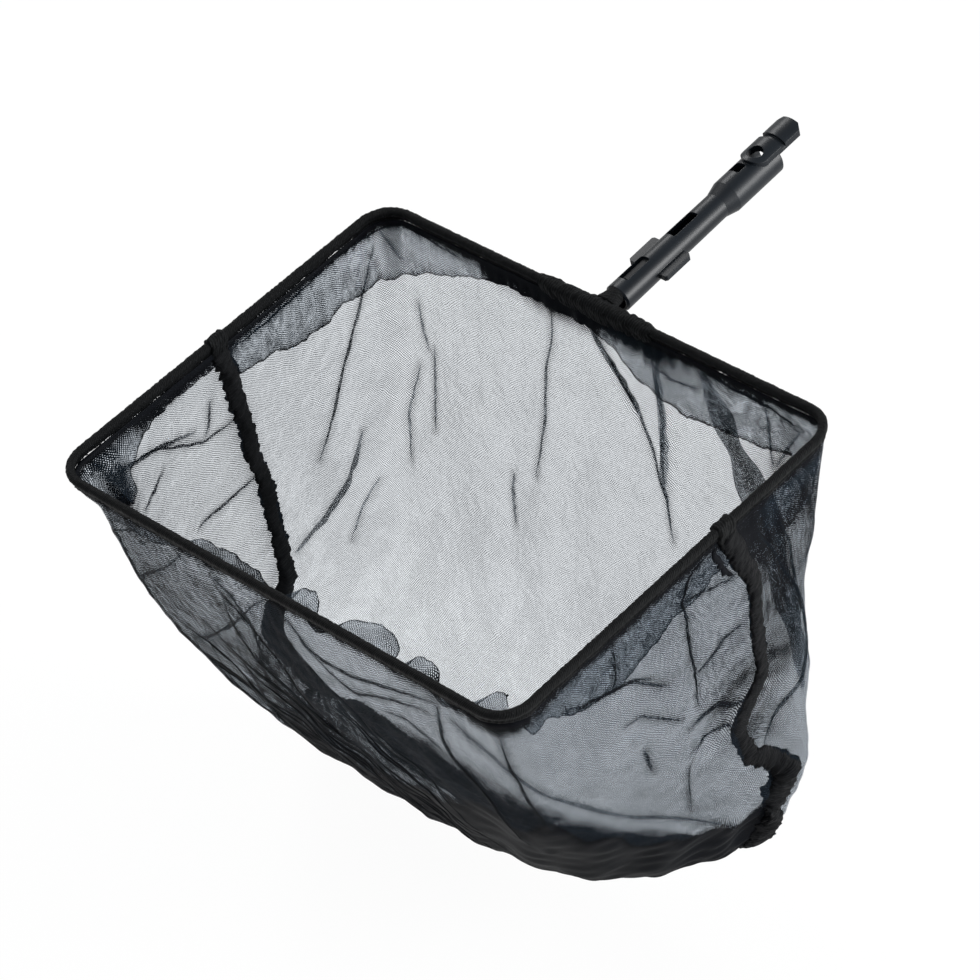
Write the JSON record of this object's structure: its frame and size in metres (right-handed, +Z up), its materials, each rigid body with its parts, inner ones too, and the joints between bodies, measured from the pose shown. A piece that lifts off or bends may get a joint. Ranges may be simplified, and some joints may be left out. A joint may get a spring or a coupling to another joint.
{
  "type": "aquarium fish net",
  "caption": "Rectangular fish net: a coated wire loop holding a deep bag of fine black mesh, with a moulded connector whose socket takes the end of a pole.",
  "frame": {"origin": "centre of the mouth of the pole socket, at the end of the connector that is furthest from the loop", "axes": "+X along the loop's long sides, +Y from the loop towards the pole, +Z up out of the bag's mouth. The connector's axis leans 3 degrees from +Y towards +Z"},
  "size_m": [0.2765, 0.3211, 0.2371],
  "materials": {
    "wire": "drawn",
    "coating": "satin",
    "connector": "satin",
    "plug": "matt",
    "hem": "folded mesh",
    "thread": "spun",
    "binding": "bound mesh",
    "mesh": "knitted net",
    "seam": "overlocked"
  },
  "bodies": {
    "root": {"frame_wire": "wire", "wire_coating": "coating", "connector": "connector", "stem_plug": "plug", "front_hem": "hem", "back_hem": "hem", "front_hem_thread": "thread", "back_hem_thread": "thread", "back_bar_wrap": "binding", "neck_wrap": "binding", "left_seam_wrap": "binding", "right_seam_wrap": "binding", "front_facing": "mesh", "back_facing": "mesh", "front_panel": "mesh", "back_panel": "mesh", "left_seam": "seam", "right_seam": "seam", "bottom_seam": "seam"}
  },
  "joints": []
}
